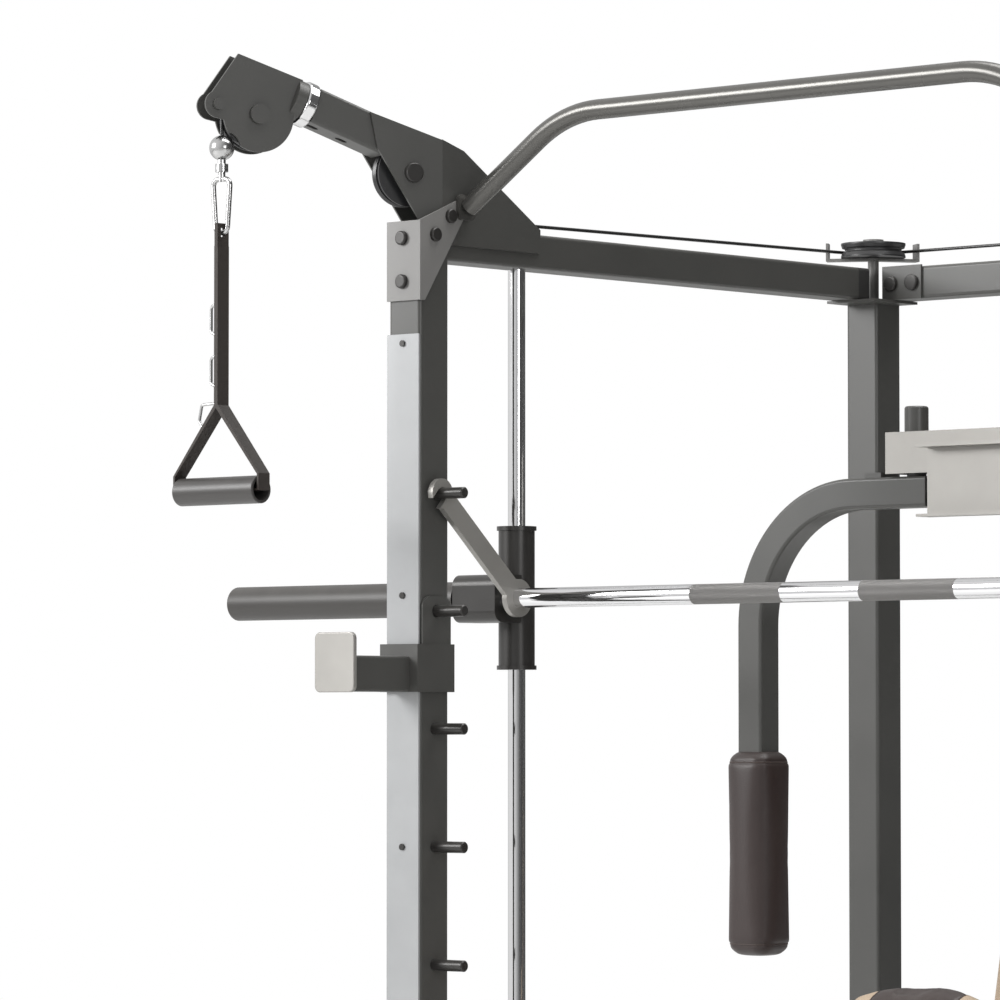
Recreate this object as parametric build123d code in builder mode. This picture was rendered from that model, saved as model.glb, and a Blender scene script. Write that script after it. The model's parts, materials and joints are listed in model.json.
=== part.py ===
"""Multi station home gym: a cage with a guided bar, cable arms, a pec-fly station and a bench.

The frame stands on +Z up with the front towards -Y.  X = 0 is the plane of symmetry, and the
origin lies on the floor under the middle of the machine.  Millimetres throughout.
"""
import os
from math import asin, atan2, cos, degrees, hypot, radians, sin, tan

from build123d import *

SIDES = (-1, 1)
SIDE_NAMES = {-1: "left", 1: "right"}

# Driving dimensions of the cage
POST_X = 600.0            # post centres either side of the middle
UPRIGHT_Y = -360.0        # plane of the front uprights
REAR_Y = UPRIGHT_Y + 1030.0
POST_SIZE = 60.0
BEAM_SIZE = 50.0
WALL = 2.5
FOOT_HEIGHT = 8.0
RAIL_TOP = FOOT_HEIGHT + POST_SIZE
RAIL_FRONT_Y = UPRIGHT_Y - 432.0
RAIL_REAR_Y = UPRIGHT_Y + 1152.0
CAP_THICKNESS = 4.0
BEAM_BOTTOM = 1931.0
BEAM_TOP = BEAM_BOTTOM + BEAM_SIZE
BEAM_Z = BEAM_BOTTOM + BEAM_SIZE / 2
UPRIGHT_TOP = 1984.0
POST_PLATE = 4.0
BOLTED_GAP = 0.3          # keeps tubes that are bolted end to side as separate pieces

# Guided bar
ROD_Y = UPRIGHT_Y + 205.0
ROD_RADIUS = 12.5
RUNNING_GAP = 0.05
BAR_Y = UPRIGHT_Y + 160.0
BAR_Z = 1458.0
BAR_RADIUS = 14.0
SLEEVE_RADIUS = 25.0
SLEEVE_START = 64.0
SLEEVE_END = 518.0
CARRIAGE_BOTTOM = 1357.0
CARRIAGE_TOP = 1562.0
CARRIAGE_RADIUS = 26.0

# Latch pegs on the inner faces of the uprights
PEG_TOP_Z = 1601.5
PEG_PITCH = 164.5
PEG_COUNT = 8
PEG_RADIUS = 8.0
PEG_LENGTH = 58.0

# Crossover arms.  They are laid out in the plane of their uprights, and then splayed outward
# about the vertical line where the gusset plates are folded.
SPLAY_DEGREES = 22.0
FOLD_Y = UPRIGHT_Y + 23.2
ARM_TILT = radians(20.17)
ARM_START = Vector(0, UPRIGHT_Y - 162.4, 2139.9)
ARM_DOWN = Vector(0, cos(ARM_TILT), -sin(ARM_TILT))
ARM_NORMAL = Vector(0, sin(ARM_TILT), cos(ARM_TILT))
ARM_LENGTH = 118.5
COLLAR_LENGTH = 17.0
RING_LENGTH = 15.5
SPINDLE_RADIUS = 15.0

# Cable and pulleys, given as centre and groove radius
CABLE_RADIUS = 2.5
END_PULLEY = Vector(0, UPRIGHT_Y - 246.9, 2124.3)
END_GROOVE = 46.0
GUSSET_PULLEY = Vector(0, UPRIGHT_Y - 16.0, 2052.0)
GUSSET_GROOVE = 40.0
ROLLER = Vector(0, UPRIGHT_Y + 79.0, 2018.0)
ROLLER_GROOVE = 22.0
CORNER_GROOVE = 44.5
CORNER_Z = 2012.0
KEEPER_REACH = 72.7
CENTER_GROOVE = 40.0
CENTER_X = 75.0
PULLEY_WIDTH = 22.0
AXLE_RADIUS = 8.0
DROP_Y = REAR_Y + CORNER_GROOVE + CABLE_RADIUS
DROP_X = CENTER_X - CENTER_GROOVE - CABLE_RADIUS
CENTER_Z = CORNER_Z - CENTER_GROOVE - CABLE_RADIUS

# Handle that hangs from each arm, with its place before and after the splay
DROP_FRONT_Y = END_PULLEY.Y - END_GROOVE - CABLE_RADIUS
HANDLE_OUT = POST_X + (FOLD_Y - DROP_FRONT_Y) * sin(radians(SPLAY_DEGREES))
HANDLE_Y = FOLD_Y - (FOLD_Y - DROP_FRONT_Y) * cos(radians(SPLAY_DEGREES))
BALL_Z = 2076.5
BALL_RADIUS = 17.5
HOOK_TOP = 2033.0
HOOK_BOTTOM = 1958.5
STRAP_TOP = 1940.0
STRAP_APEX = 1721.5
GRIP_Z = 1601.0
GRIP_LENGTH = 156.0
GRIP_RADIUS = 19.3

# Pec-fly station
FLY_X = 222.0
FLY_Y = UPRIGHT_Y + 650.0
FLY_TUBE = 45.0
FLY_ARM_Z = 1614.5
FLY_REACH = 519.0
FLY_BEND = 190.0
FLY_PIVOT_RADIUS = 14.0
FLY_BOX_BOTTOM = 1641.0
FLY_BOX_TOP = 1701.0
FLY_PAD_LOW = 932.0
FLY_PAD_HIGH = 1246.0

# Weight carriage behind the rear beam
STACK_X = 150.0
STACK_Y = REAR_Y + 70.0
STACK_Z = 330.0
STACK_ROD_TOP = 1906.0

# Bench
BENCH_RAIL_BOTTOM = 400.0
BENCH_RAIL_TOP = 450.0
SEAT_FRONT = UPRIGHT_Y + 440.0
SEAT_REAR = UPRIGHT_Y + 690.0
SEAT_TOP = 505.0
BACK_TILT = radians(11.77)
BACK_PIVOT = Vector(0, UPRIGHT_Y + 717.0, 474.0)
BACK_THICKNESS = 75.0
BACK_BAR_WIDTH = 46.0
BACK_BAR_DEPTH = 30.0
SOCKET_Y = UPRIGHT_Y + 397.0
LEVER_Y = UPRIGHT_Y + 340.0
LEVER_Z = 425.0
CURL_TILT = radians(50.0)
CURL_TOP = Vector(0, UPRIGHT_Y + 384.0, 938.0)
CURL_THICKNESS = 56.0


def side_plane(side, inward, y=0.0, z=0.0):
    """Plane at a distance inward of a side's post centre, looking outward from X = 0 on both sides.

    Sketch coordinates are Y and Z on either side, and extruding a positive amount goes inward.
    """
    x_position = side * (POST_X - inward)
    if side < 0:
        return Plane(origin=(x_position, y, z), x_dir=(0, 1, 0), z_dir=(1, 0, 0))
    return Plane(origin=(x_position, y, z), x_dir=(0, -1, 0), z_dir=(-1, 0, 0))


def across(side, y):
    """Sketch abscissa on a side plane for a row coordinate Y."""
    return y if side < 0 else -y


def box(x_range, y_range, z_range):
    """Add a plain block to the part being built."""
    size = [high - low for low, high in (x_range, y_range, z_range)]
    middle = tuple((high + low) / 2 for low, high in (x_range, y_range, z_range))
    with Locations(middle):
        Box(*size)


def cut_box(x_range, y_range, z_range):
    """Remove a plain block from the part being built."""
    size = [high - low for low, high in (x_range, y_range, z_range)]
    middle = tuple((high + low) / 2 for low, high in (x_range, y_range, z_range))
    with Locations(middle):
        Box(*size, mode=Mode.SUBTRACT)


def rod(start, end, radius, mode=Mode.ADD):
    """Round bar from one point to another."""
    direction = Vector(end) - Vector(start)
    with BuildSketch(Plane(origin=start, z_dir=direction)) as section:
        Circle(radius)
    extrude(section.sketch, amount=direction.length, mode=mode)


def square_tube(plane, length, size, wall=WALL):
    """Hollow square tube along a plane's normal, centred on its origin."""
    with BuildSketch(plane) as section:
        RectangleRounded(size, size, 2.2 * wall)
        RectangleRounded(size - 2 * wall, size - 2 * wall, 1.2 * wall, mode=Mode.SUBTRACT)
    extrude(section.sketch, amount=length)


def pulley_profile(center, axis, outer, groove, width, bore):
    """Wheel turned about its axis, with a round-bottomed V groove for the cable."""
    center = Vector(center)
    axis = Vector(axis)
    radial = Vector(0, 0, 1) if abs(axis.Z) < 0.5 else Vector(1, 0, 0)
    half = width / 2
    lip = half - 2.5
    seat = CABLE_RADIUS + 1.2
    root = groove - 0.8
    with BuildSketch(Plane(origin=center, x_dir=axis, z_dir=axis.cross(radial))) as section:
        with BuildLine():
            Polyline((-seat, groove + seat), (-lip, outer), (-half, outer), (-half, bore), (half, bore),
                     (half, outer), (lip, outer), (seat, groove + seat))
            ThreePointArc((seat, groove + seat), (0, root), (-seat, groove + seat))
        make_face()
    revolve(section.sketch, axis=Axis(center, axis))


def tangent_points(center_a, radius_a, center_b, radius_b):
    """Line that touches two circles in the YZ plane: a positive radius lies under the line.

    Returns the touching points, going from a to b with +Y.
    """
    delta_y = center_b.Y - center_a.Y
    delta_z = center_b.Z - center_a.Z
    distance = hypot(delta_y, delta_z)
    slope = atan2(delta_z, delta_y) + atan2(radius_b - radius_a,
                                            (distance ** 2 - (radius_b - radius_a) ** 2) ** 0.5)
    normal = Vector(0, -sin(slope), cos(slope))
    return center_a + normal * radius_a, center_b + normal * radius_b


def meeting_point(line_a, line_b):
    """Point where two lines of the YZ plane cross, each given by two points."""
    start_a, end_a = line_a
    start_b, end_b = line_b
    run_a = end_a - start_a
    run_b = end_b - start_b
    cross = run_a.Y * run_b.Z - run_a.Z * run_b.Y
    gap = start_b - start_a
    share = (gap.Y * run_b.Z - gap.Z * run_b.Y) / cross
    return start_a + run_a * share


def make_floor_frame():
    """Side rails, rear cross tube and centre rail that stand on the feet."""
    rail_z = FOOT_HEIGHT + POST_SIZE / 2
    with BuildPart() as floor_frame:
        for side in SIDES:
            square_tube(Plane(origin=(side * POST_X, RAIL_FRONT_Y, rail_z), z_dir=(0, 1, 0)),
                        RAIL_REAR_Y - RAIL_FRONT_Y, POST_SIZE)
        inner = POST_X - POST_SIZE / 2 - BOLTED_GAP
        square_tube(Plane(origin=(-inner, REAR_Y, rail_z), z_dir=(1, 0, 0)), 2 * inner, POST_SIZE)
        front = SOCKET_Y - POST_SIZE / 2
        square_tube(Plane(origin=(0, front, rail_z), z_dir=(0, 1, 0)),
                    REAR_Y - POST_SIZE / 2 - BOLTED_GAP - front, POST_SIZE)
    return floor_frame.part


def make_feet_and_caps():
    """Rubber feet under the rails and plastic plugs over the open tube ends."""
    foot = POST_SIZE + 16
    rail_z = FOOT_HEIGHT + POST_SIZE / 2
    foot_places = [(side * POST_X, y) for side in SIDES for y in (RAIL_FRONT_Y + 50, UPRIGHT_Y, REAR_Y)]
    foot_places += [(0, SOCKET_Y + 20), (0, REAR_Y)]
    with BuildPart() as feet_and_caps:
        with BuildSketch(Plane.XY):
            with Locations(foot_places):
                RectangleRounded(foot, foot, 12)
        extrude(amount=FOOT_HEIGHT)
        for side in SIDES:
            for y, outward in ((RAIL_FRONT_Y, -1), (RAIL_REAR_Y, 1)):
                with BuildSketch(Plane(origin=(side * POST_X, y, rail_z), z_dir=(0, outward, 0))):
                    RectangleRounded(POST_SIZE, POST_SIZE, 6)
                extrude(amount=CAP_THICKNESS)
            with BuildSketch(Plane(origin=(side * POST_X, REAR_Y - 68, BEAM_Z), z_dir=(0, 1, 0))):
                RectangleRounded(BEAM_SIZE, BEAM_SIZE, 5)
            extrude(amount=26)
    return feet_and_caps.part


def make_cage_posts():
    """Front uprights and rear posts, each a hollow tube with a closed top."""
    with BuildPart() as cage_posts:
        for side in SIDES:
            for y, top in ((UPRIGHT_Y, UPRIGHT_TOP), (REAR_Y, BEAM_BOTTOM - POST_PLATE)):
                square_tube(Plane.XY.move(Location((side * POST_X, y, RAIL_TOP))), top - RAIL_TOP, POST_SIZE)
            box((side * POST_X - 30, side * POST_X + 30), (UPRIGHT_Y - 30, UPRIGHT_Y + 30),
                (UPRIGHT_TOP - 3, UPRIGHT_TOP))
            inner_edge = side * (POST_X - 62)
            outer_edge = side * (POST_X + 31)
            box(sorted((inner_edge, outer_edge)), (REAR_Y - 76, REAR_Y + 31),
                (BEAM_BOTTOM - POST_PLATE, BEAM_BOTTOM))
    return cage_posts.part


def make_top_beams():
    """Side beams from the uprights to the rear, and the rear cross beam."""
    with BuildPart() as top_beams:
        for side in SIDES:
            start = UPRIGHT_Y + POST_SIZE / 2
            square_tube(Plane(origin=(side * POST_X, start, BEAM_Z), z_dir=(0, 1, 0)),
                        REAR_Y - 68 - start, BEAM_SIZE)
        square_tube(Plane(origin=(-POST_X + 37, REAR_Y, BEAM_Z), z_dir=(1, 0, 0)),
                    2 * (POST_X - 37), BEAM_SIZE)
        for side in SIDES:
            plate = sorted((side * (POST_X - 40), side * (POST_X - 115)))
            box(plate, (REAR_Y - BEAM_SIZE / 2 - 4, REAR_Y - BEAM_SIZE / 2), (BEAM_BOTTOM, BEAM_TOP + 2))
    return top_beams.part


def make_mast():
    """Centre mast between the rear cross tube and the rear beam, and the boom to the fly station."""
    with BuildPart() as mast:
        square_tube(Plane.XY.move(Location((0, REAR_Y, RAIL_TOP))), BEAM_BOTTOM - RAIL_TOP, POST_SIZE)
        boom_start = FLY_Y + POST_SIZE / 2
        square_tube(Plane(origin=(0, boom_start, (FLY_BOX_BOTTOM + FLY_BOX_TOP) / 2), z_dir=(0, 1, 0)),
                    REAR_Y - POST_SIZE / 2 - BOLTED_GAP - boom_start, POST_SIZE)
    return mast.part


def make_upright_guards():
    """Tread-plate strips that protect the front faces of the uprights."""
    with BuildPart() as upright_guards:
        for side in SIDES:
            face = (side * POST_X, UPRIGHT_Y - POST_SIZE / 2, 1284)
            with BuildSketch(Plane(origin=face, x_dir=(1, 0, 0), z_dir=(0, -1, 0))):
                RectangleRounded(60.5, 1082, 2)
            extrude(amount=3)
    return upright_guards.part


def make_latch_pegs():
    """Evenly spaced pegs that take the hooks of the bar."""
    with BuildPart() as latch_pegs:
        for side in SIDES:
            for step in range(PEG_COUNT):
                z = PEG_TOP_Z - step * PEG_PITCH
                start = (side * (POST_X - POST_SIZE / 2), UPRIGHT_Y, z)
                end = (side * (POST_X - POST_SIZE / 2 - PEG_LENGTH), UPRIGHT_Y, z)
                rod(start, end, PEG_RADIUS)
        ends = latch_pegs.edges().filter_by(GeomType.CIRCLE)
        inner_ends = [edge for edge in ends if abs(edge.center().X) < POST_X - POST_SIZE]
        chamfer(inner_ends, length=1.5)
    return latch_pegs.part


def make_pullup_bar():
    """Bent pull-up bar with a flat lug at each end."""
    bar_y = UPRIGHT_Y + 57.0
    top_z = 2127.0
    vertex_x = 376.0
    end_x = POST_X - 45.0
    end_z = top_z - (end_x - vertex_x) * tan(radians(33.8))
    with BuildPart() as pullup_bar:
        with BuildLine() as path:
            FilletPolyline((-end_x, bar_y, end_z), (-vertex_x, bar_y, top_z), (vertex_x, bar_y, top_z),
                           (end_x, bar_y, end_z), radius=200)
        start = path.line @ 0
        with BuildSketch(Plane(origin=start, z_dir=path.line % 0)):
            Circle(14)
            Circle(11.5, mode=Mode.SUBTRACT)
        sweep()
        for side in SIDES:
            with BuildSketch(side_plane(side, 34.2, 0, 0)):
                with Locations((across(side, bar_y), end_z)):
                    RectangleRounded(34, 36, 8)
            extrude(amount=6)
    return pullup_bar.part


def make_pullup_brackets():
    """Folded brackets that carry the pull-up bar, with a front and a side flange."""
    front_y = UPRIGHT_Y - POST_SIZE / 2
    with BuildPart() as pullup_brackets:
        for side in SIDES:
            with BuildSketch(side_plane(side, POST_SIZE / 2)):
                Polygon((across(side, front_y - 4), 1872), (across(side, front_y - 4), 1984),
                        (across(side, UPRIGHT_Y + 39), 2014.5), (across(side, UPRIGHT_Y + 59), 1995),
                        (across(side, front_y + 6), 1872), align=None)
                with Locations((across(side, UPRIGHT_Y + 45), 2001)):
                    Circle(15)
            extrude(amount=4)
            box(sorted((side * (POST_X - 34), side * (POST_X + 30))), (front_y - 4, front_y), (1872, 1984))
    return pullup_brackets.part


def splay(side, shape):
    """Turn a shape from the plane of its uprights outward about the gusset's fold line."""
    fold = Axis((side * POST_X, FOLD_Y, 0), (0, 0, 1))
    return shape.rotate(fold, side * SPLAY_DEGREES)


def splay_point(side, point):
    """The same turn for one point of the cable's line."""
    reach = FOLD_Y - point.Y
    angle = radians(SPLAY_DEGREES)
    return Vector(side * (POST_X + reach * sin(angle)), FOLD_Y - reach * cos(angle), point.Z)


def arm_point(side, along, lift=0.0):
    """Point on a crossover arm before its splay: along its axis from the front end, and above the axis."""
    point = ARM_START + ARM_DOWN * along + ARM_NORMAL * lift
    return Vector(side * POST_X, point.Y, point.Z)


def make_one_arm(side):
    """Square tube arm with two slots in the underside."""
    with BuildPart() as arm:
        square_tube(Plane(origin=arm_point(side, 0), x_dir=(1, 0, 0), z_dir=ARM_DOWN), ARM_LENGTH, BEAM_SIZE)
        for along in (12.4, 59.8):
            slot_at = arm_point(side, along, -BEAM_SIZE / 2 - 1)
            with BuildSketch(Plane(origin=slot_at, x_dir=ARM_DOWN, z_dir=ARM_NORMAL)):
                SlotOverall(18.6, 12)
            extrude(amount=WALL + 2, mode=Mode.SUBTRACT)
    return arm.part


def make_crossover_arms():
    """Both arms, splayed outward."""
    with BuildPart() as crossover_arms:
        for side in SIDES:
            add(splay(side, make_one_arm(side)))
    return crossover_arms.part


def make_gusset_plate(side, start, outline, hole):
    """One flat panel of a gusset plate, with the hole for a pulley bolt."""
    with BuildPart() as panel:
        with BuildSketch(side_plane(side, start)):
            Polygon(*[(across(side, y), z) for y, z in outline], align=None)
            with Locations((across(side, hole.Y), hole.Z)):
                Circle(AXLE_RADIUS + 0.2, mode=Mode.SUBTRACT)
        extrude(amount=4)
    return panel.part


def make_arm_gussets():
    """Pairs of folded plates: the rear panel lies along the beam and the front panel along the arm."""
    rear = ((62, 2088), (224, 1987), (224, 1953), (33, 1953), (33, 1986))
    front = ((-82.4, 2134.4), (-71.9, 2085.3), (-8, 1987))
    with BuildPart() as arm_gussets:
        for side in SIDES:
            for start in (-29.0, 25.0):
                miter = (start + 2) * tan(radians(SPLAY_DEGREES / 2))
                rear_y = FOLD_Y - miter - 0.8
                front_y = FOLD_Y + miter + 0.8
                rear_outline = [(rear_y, 1986), (rear_y, 2101)]
                rear_outline += [(UPRIGHT_Y + y, z) for y, z in rear]
                front_outline = [(front_y, 1987), (front_y, 2100)]
                front_outline += [(UPRIGHT_Y + y, z) for y, z in front]
                add(make_gusset_plate(side, start, rear_outline, ROLLER))
                add(splay(side, make_gusset_plate(side, start, front_outline, GUSSET_PULLEY)))
    return arm_gussets.part


def make_one_collar(side):
    """Chrome ring at the front end of an arm, in which the pulley housing turns."""
    with BuildPart() as collar:
        with BuildSketch(Plane(origin=arm_point(side, 0), z_dir=-ARM_DOWN)):
            Circle(32)
            Circle(SPINDLE_RADIUS + RUNNING_GAP, mode=Mode.SUBTRACT)
        extrude(amount=COLLAR_LENGTH)
        rims = collar.edges().filter_by(GeomType.CIRCLE).filter_by(lambda edge: edge.radius > 30)
        fillet(rims, radius=3)
    return collar.part


def make_swivel_collars():
    """Both collars, splayed with their arms."""
    with BuildPart() as swivel_collars:
        for side in SIDES:
            add(splay(side, make_one_collar(side)))
    return swivel_collars.part


def make_end_housing(side):
    """Swivelling fork around the end pulley: spindle, ring, two cheek plates, axle and nose roller."""
    ring_end = COLLAR_LENGTH + RING_LENGTH
    center_x = side * POST_X
    with BuildPart() as end_housing:
        with BuildSketch(Plane(origin=arm_point(side, -COLLAR_LENGTH - 0.4), z_dir=-ARM_DOWN)):
            Circle(29)
            Circle(10, mode=Mode.SUBTRACT)
        extrude(amount=RING_LENGTH - 0.4)
        with BuildSketch(Plane(origin=arm_point(side, -COLLAR_LENGTH - 2), z_dir=ARM_DOWN)):
            Circle(SPINDLE_RADIUS)
            Circle(10, mode=Mode.SUBTRACT)
        extrude(amount=COLLAR_LENGTH + 18)
        rod((center_x - 12.6, END_PULLEY.Y, END_PULLEY.Z), (center_x + 12.6, END_PULLEY.Y, END_PULLEY.Z),
            51.5, mode=Mode.SUBTRACT)
        nose = Vector(0, UPRIGHT_Y - 307.8, 2135.3)
        ring_face = arm_point(side, -ring_end + 4)
        upper = ring_face + ARM_NORMAL * 27
        lower = ring_face - ARM_NORMAL * 30
        for start in (-16.5, 13.0):
            with BuildSketch(Plane(origin=(center_x + start, 0, 0), x_dir=(0, 1, 0), z_dir=(1, 0, 0))):
                Polygon((upper.Y, upper.Z), (UPRIGHT_Y - 277.5, 2206.9), (nose.Y - 18.2, nose.Z + 4),
                        (nose.Y - 4, nose.Z - 18.5), (UPRIGHT_Y - 291.7, 2112.8), (UPRIGHT_Y - 284.3, 2104.2),
                        (lower.Y, lower.Z), align=None)
                with Locations((END_PULLEY.Y, END_PULLEY.Z)):
                    Circle(53)
                with Locations((nose.Y, nose.Z)):
                    Circle(19)
                with Locations((DROP_FRONT_Y, BALL_Z)):
                    Circle(BALL_RADIUS + 3.5, mode=Mode.SUBTRACT)
            extrude(amount=3.5)
        rod((center_x - 20, END_PULLEY.Y, END_PULLEY.Z), (center_x + 20, END_PULLEY.Y, END_PULLEY.Z),
            AXLE_RADIUS)
        rod((center_x - 20, nose.Y, nose.Z), (center_x + 20, nose.Y, nose.Z), 5)
        rod((center_x - 13, nose.Y, nose.Z), (center_x + 13, nose.Y, nose.Z), 9)
        for face in (-1, 1):
            for point, radius in ((END_PULLEY, 14), (nose, 8)):
                start = Vector(center_x + face * 16.5, point.Y, point.Z)
                rod(start, start + Vector(face * 6, 0, 0), radius)
    return splay(side, end_housing.part)


def make_pulley(center, axis, outer, groove, bore=AXLE_RADIUS):
    """One cable wheel on its axle."""
    with BuildPart() as pulley:
        pulley_profile(center, axis, outer, groove, PULLEY_WIDTH, bore + RUNNING_GAP)
    return pulley.part


def at_side(side, point, inward=0.0):
    """A point of the arm's plane moved to one side of the machine."""
    return Vector(side * (POST_X - inward), point.Y, point.Z)


def make_roller_pulleys():
    """Small lower wheels of the gussets that press the cable down onto the beam's line."""
    with BuildPart() as roller_pulleys:
        for side in SIDES:
            pulley_profile(at_side(side, ROLLER), (1, 0, 0), 29, ROLLER_GROOVE, PULLEY_WIDTH, AXLE_RADIUS + 0.2)
    return roller_pulleys.part


def make_guide_rods():
    """Polished rods for the bar's carriages and for the weight carriage."""
    with BuildPart() as guide_rods:
        for side in SIDES:
            rod((side * POST_X, ROD_Y, RAIL_TOP), (side * POST_X, ROD_Y, BEAM_BOTTOM), ROD_RADIUS)
            rod((side * STACK_X, STACK_Y, RAIL_TOP), (side * STACK_X, STACK_Y, STACK_ROD_TOP), ROD_RADIUS)
    return guide_rods.part


def make_pulley_brackets():
    """Corner shafts with their cable keepers, and the plates that hold the rear rods and pulleys."""
    post_y = REAR_Y
    with BuildPart() as pulley_brackets:
        for side in SIDES:
            center_x = side * POST_X
            rod((center_x, post_y, BEAM_BOTTOM), (center_x, post_y, CORNER_Z - 16), 8.5)
            rod((center_x, post_y, CORNER_Z - 16), (center_x, post_y, CORNER_Z + 17), AXLE_RADIUS)
            rod((center_x, post_y, CORNER_Z - 16), (center_x, post_y, CORNER_Z - 12), 12)
            rod((center_x, post_y, CORNER_Z + 12), (center_x, post_y, CORNER_Z + 17), 16)
            # both arms of the keeper lie below the wheel and bend up outside the cable
            for direction in (Vector(side * 62, -38, 0), Vector(-side * 38, 62, 0)):
                keeper = Plane(origin=(center_x, post_y, CORNER_Z - 16), x_dir=direction, z_dir=(0, 0, 1))
                with BuildSketch(keeper):
                    with Locations((KEEPER_REACH / 2, 0)):
                        Rectangle(KEEPER_REACH, 20)
                extrude(amount=4)
                with BuildSketch(keeper):
                    with Locations((KEEPER_REACH - 2, 0)):
                        Rectangle(4, 20)
                extrude(amount=28)
        back = REAR_Y + BEAM_SIZE / 2
        for side in SIDES:
            web = sorted((side * 178, side * 126))
            box(web, (back, back + 6), (STACK_ROD_TOP, BEAM_TOP))
            ear = sorted((side * 100, side * 50))
            box(ear, (back, back + 5), (BEAM_BOTTOM, BEAM_TOP + 12))
            rod((side * CENTER_X, back, CENTER_Z), (side * CENTER_X, DROP_Y + 16, CENTER_Z), AXLE_RADIUS)
            rod((side * CENTER_X, DROP_Y + 12, CENTER_Z), (side * CENTER_X, DROP_Y + 20, CENTER_Z), 14)
        box((-178, 178), (back + 5, STACK_Y + 30), (STACK_ROD_TOP, STACK_ROD_TOP + 6))
        for side in SIDES:
            rod((side * DROP_X, DROP_Y, STACK_ROD_TOP - 1), (side * DROP_X, DROP_Y, STACK_ROD_TOP + 7), 8,
                mode=Mode.SUBTRACT)
        box((-178, 178), (REAR_Y + POST_SIZE / 2, STACK_Y + 30), (RAIL_TOP - 8, RAIL_TOP))
    return pulley_brackets.part


def make_fly_carrier():
    """Zinc-plated box across the boom, bored for the arm pivots, with a folded front plate."""
    half = POST_SIZE / 2
    with BuildPart() as fly_carrier:
        box((-256, 256), (FLY_Y - half, FLY_Y + half), (FLY_BOX_BOTTOM, FLY_BOX_TOP))
        cut_box((-257, 257), (FLY_Y - half + 4, FLY_Y + half - 4), (FLY_BOX_BOTTOM + 4, FLY_BOX_TOP - 4))
        for side in SIDES:
            rod((side * FLY_X, FLY_Y, FLY_BOX_BOTTOM - 1), (side * FLY_X, FLY_Y, FLY_BOX_TOP + 1),
                FLY_PIVOT_RADIUS + RUNNING_GAP, mode=Mode.SUBTRACT)
        box((-176, 176), (FLY_Y - half - 5, FLY_Y - half), (1580, 1676))
        box((-176, 176), (FLY_Y - half - 32, FLY_Y - half), (1576, 1580))
        box((-176, 176), (FLY_Y - half - 32, FLY_Y - half), (1676, 1680))
    return fly_carrier.part


def make_pulley_bolt(side, center, head):
    """Bolt through both gusset plates, with a domed head and nut."""
    with BuildPart() as bolt:
        rod(at_side(side, center, -29), at_side(side, center, 29), AXLE_RADIUS)
        rod(at_side(side, center, -29), at_side(side, center, -34), head)
        rod(at_side(side, center, 29), at_side(side, center, 34), head)
        rims = bolt.edges().filter_by(GeomType.CIRCLE)
        fillet([edge for edge in rims if abs(abs(edge.center().X) - POST_X) > 33.9], radius=2.5)
    return bolt.part


def make_fasteners():
    """Bolt heads and through bolts of the fixed frame, and the screws of the guards."""
    front_y = UPRIGHT_Y - POST_SIZE / 2
    with BuildPart() as fasteners:
        for side in SIDES:
            add(splay(side, make_pulley_bolt(side, GUSSET_PULLEY, 14)))
            add(make_pulley_bolt(side, ROLLER, 11))
            for y, z in ((28, 1993), (-4, 1965)):
                start = Vector(side * (POST_X - 34), UPRIGHT_Y + y, z)
                rod(start, start - Vector(side * 6, 0, 0), 10)
            for z in (1960, 1899):
                rod((side * POST_X, front_y - 4, z), (side * POST_X, front_y - 10, z), 10)
            for z in (1812, 1459, 1108, 757):
                rod((side * POST_X, front_y - 3, z), (side * POST_X, front_y - 5.5, z), 4.5)
            for inward in (57, 98):
                place = (side * (POST_X - inward), REAR_Y - BEAM_SIZE / 2 - 4, BEAM_Z)
                rod(place, Vector(place) - Vector(0, 6, 0), 12)
        rims = fasteners.edges().filter_by(GeomType.CIRCLE)
        heads = [edge for edge in rims if edge.radius > 9]
        outer = [edge for edge in heads if edge_is_outside(edge, front_y)]
        fillet(outer, radius=2.5)
    return fasteners.part


def edge_is_outside(edge, front_y):
    """True for the free rim of a bolt head, which is the one that gets its domed edge."""
    center = edge.center()
    offset = abs(abs(center.X) - POST_X)
    if abs(center.Y - (front_y - 10)) < 0.1:
        return True
    if abs(center.Y - (REAR_Y - BEAM_SIZE / 2 - 10)) < 0.1:
        return True
    return abs(offset - 40) < 0.1 and edge.radius < 10.5


def make_bench_frame():
    """Bench rail on two posts, with the curl socket, the lever ears and the back-rest ears."""
    rail_front = SOCKET_Y - BEAM_SIZE / 2
    rail_rear = UPRIGHT_Y + 770
    rail_z = (BENCH_RAIL_BOTTOM + BENCH_RAIL_TOP) / 2
    with BuildPart() as bench_frame:
        square_tube(Plane(origin=(0, rail_front, rail_z), z_dir=(0, 1, 0)), rail_rear - rail_front, BEAM_SIZE)
        for y in (SOCKET_Y, UPRIGHT_Y + 690):
            square_tube(Plane.XY.move(Location((0, y, RAIL_TOP))), BENCH_RAIL_BOTTOM - RAIL_TOP, BEAM_SIZE)
        square_tube(Plane.XY.move(Location((0, SOCKET_Y, BENCH_RAIL_TOP))), 150, BEAM_SIZE, 4)
        for side in SIDES:
            ear = sorted((side * 24, side * 31))
            box(ear, (LEVER_Y - 26, rail_front + 40), (LEVER_Z - 18, LEVER_Z + 18))
            box(ear, (BACK_PIVOT.Y - 26, BACK_PIVOT.Y + 26), (BENCH_RAIL_BOTTOM + 8, BACK_PIVOT.Z + 24))
        rod((-37, LEVER_Y, LEVER_Z), (37, LEVER_Y, LEVER_Z), AXLE_RADIUS)
        rod((-38, BACK_PIVOT.Y, BACK_PIVOT.Z), (38, BACK_PIVOT.Y, BACK_PIVOT.Z), AXLE_RADIUS)
    return bench_frame.part


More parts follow.
